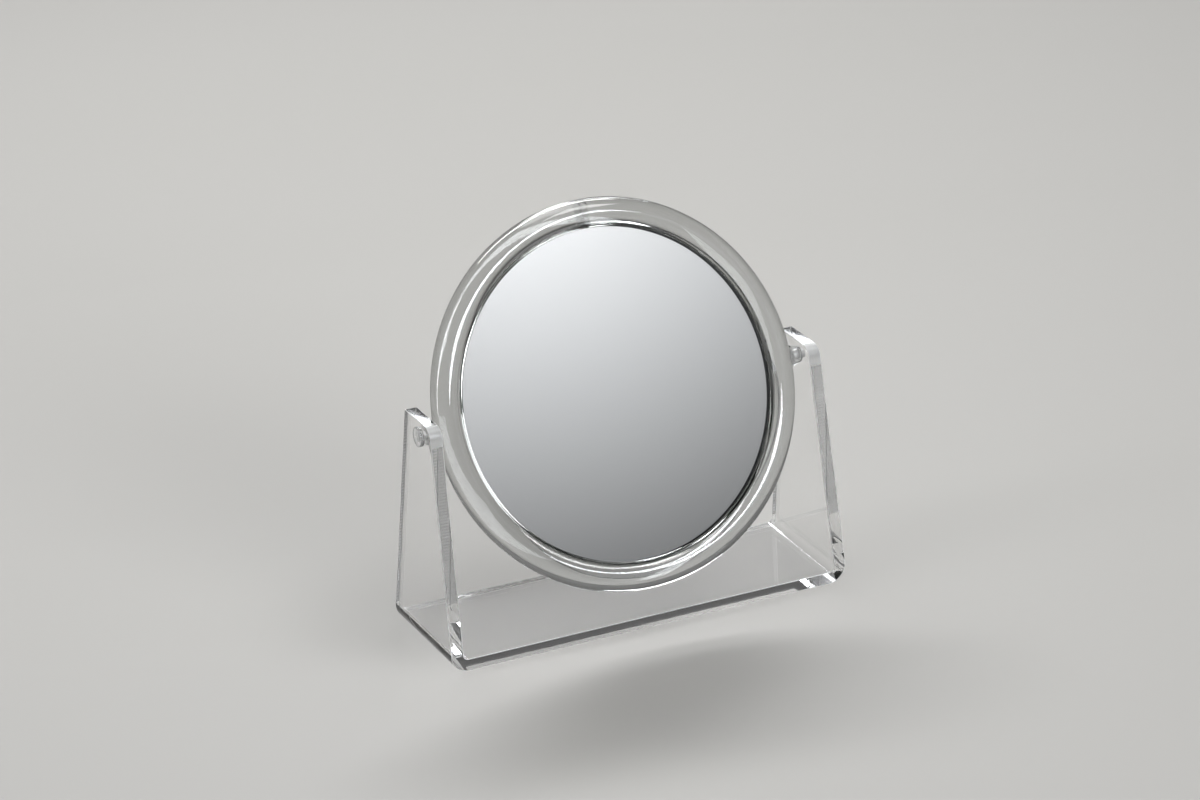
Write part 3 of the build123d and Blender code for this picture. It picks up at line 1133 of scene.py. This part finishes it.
    def lamp(self, name, at, size, watts):
        """A soft rectangular lamp that looks at the mirror."""
        deselect()
        bpy.ops.object.light_add(type="AREA", location=at)
        lamp = bpy.context.object
        lamp.name = name
        lamp.data.shape = "RECTANGLE"
        lamp.data.size, lamp.data.size_y = size
        lamp.data.energy = watts
        lamp.visible_camera = False
        lamp.rotation_euler = (PIVOT - Vector(at)).to_track_quat("-Z", "Y").to_euler()
        return lamp

    def camera(self, context, stage):
        """A camera at the photograph's angle, for a picture of 1200 by 800."""
        deselect()
        back = Vector((
            math.sin(stage.azimuth) * math.cos(stage.elevation),
            -math.cos(stage.azimuth) * math.cos(stage.elevation),
            math.sin(stage.elevation),
        ))
        level = Vector((math.cos(stage.azimuth), math.sin(stage.azimuth), 0))
        above = back.cross(level)
        right = level * math.cos(stage.roll) + above * math.sin(stage.roll)
        up = back.cross(right)
        bpy.ops.object.camera_add()
        camera = bpy.context.object
        turned = Matrix((right, up, back)).transposed().to_4x4()
        camera.matrix_world = Matrix.Translation(Vector(stage.target) + stage.distance * back) @ turned
        camera.data.lens = stage.lens
        camera.data.sensor_width = stage.sensor
        camera.data.sensor_fit = "HORIZONTAL"
        context.scene.camera = camera


class MIRROR_PT_panel(Panel):
    """Lists the mirror's sizes, finishes and operators."""

    bl_label = "Table Mirror"
    bl_idname = "MIRROR_PT_panel"
    bl_space_type = "VIEW_3D"
    bl_region_type = "UI"
    bl_category = "Table Mirror"

    def draw(self, context):
        for group in GROUPS:
            box = self.layout.box()
            values = getattr(context.scene, group)
            for name in values.__annotations__:
                box.prop(values, name)
        for operator in OPERATORS:
            self.layout.operator(operator.bl_idname)


GROUPS = {
    "mirror_ring": MirrorRingSizes,
    "mirror_stand": MirrorStandSizes,
    "mirror_pivots": MirrorPivotSizes,
    "mirror_finishes": MirrorFinishes,
    "mirror_stage": MirrorStageSettings,
}
OPERATORS = (
    MIRROR_OT_stand,
    MIRROR_OT_ring,
    MIRROR_OT_glasses,
    MIRROR_OT_left_pivot,
    MIRROR_OT_right_pivot,
    MIRROR_OT_stage,
)


def register():
    """Registers the groups, operators and panel."""
    for name, group in GROUPS.items():
        bpy.utils.register_class(group)
        setattr(bpy.types.Scene, name, PointerProperty(type=group))
    for operator in OPERATORS:
        bpy.utils.register_class(operator)
    bpy.utils.register_class(MIRROR_PT_panel)


def unregister():
    """Takes back what register added."""
    bpy.utils.unregister_class(MIRROR_PT_panel)
    for operator in reversed(OPERATORS):
        bpy.utils.unregister_class(operator)
    for name, group in reversed(GROUPS.items()):
        delattr(bpy.types.Scene, name)
        bpy.utils.unregister_class(group)


def main():
    """Builds every piece through its operator."""
    register()
    bpy.ops.table_mirror.stand()
    bpy.ops.table_mirror.ring()
    bpy.ops.table_mirror.glasses()
    bpy.ops.table_mirror.left_pivot()
    bpy.ops.table_mirror.right_pivot()
    bpy.ops.table_mirror.stage()


if __name__ == "__main__":
    main()
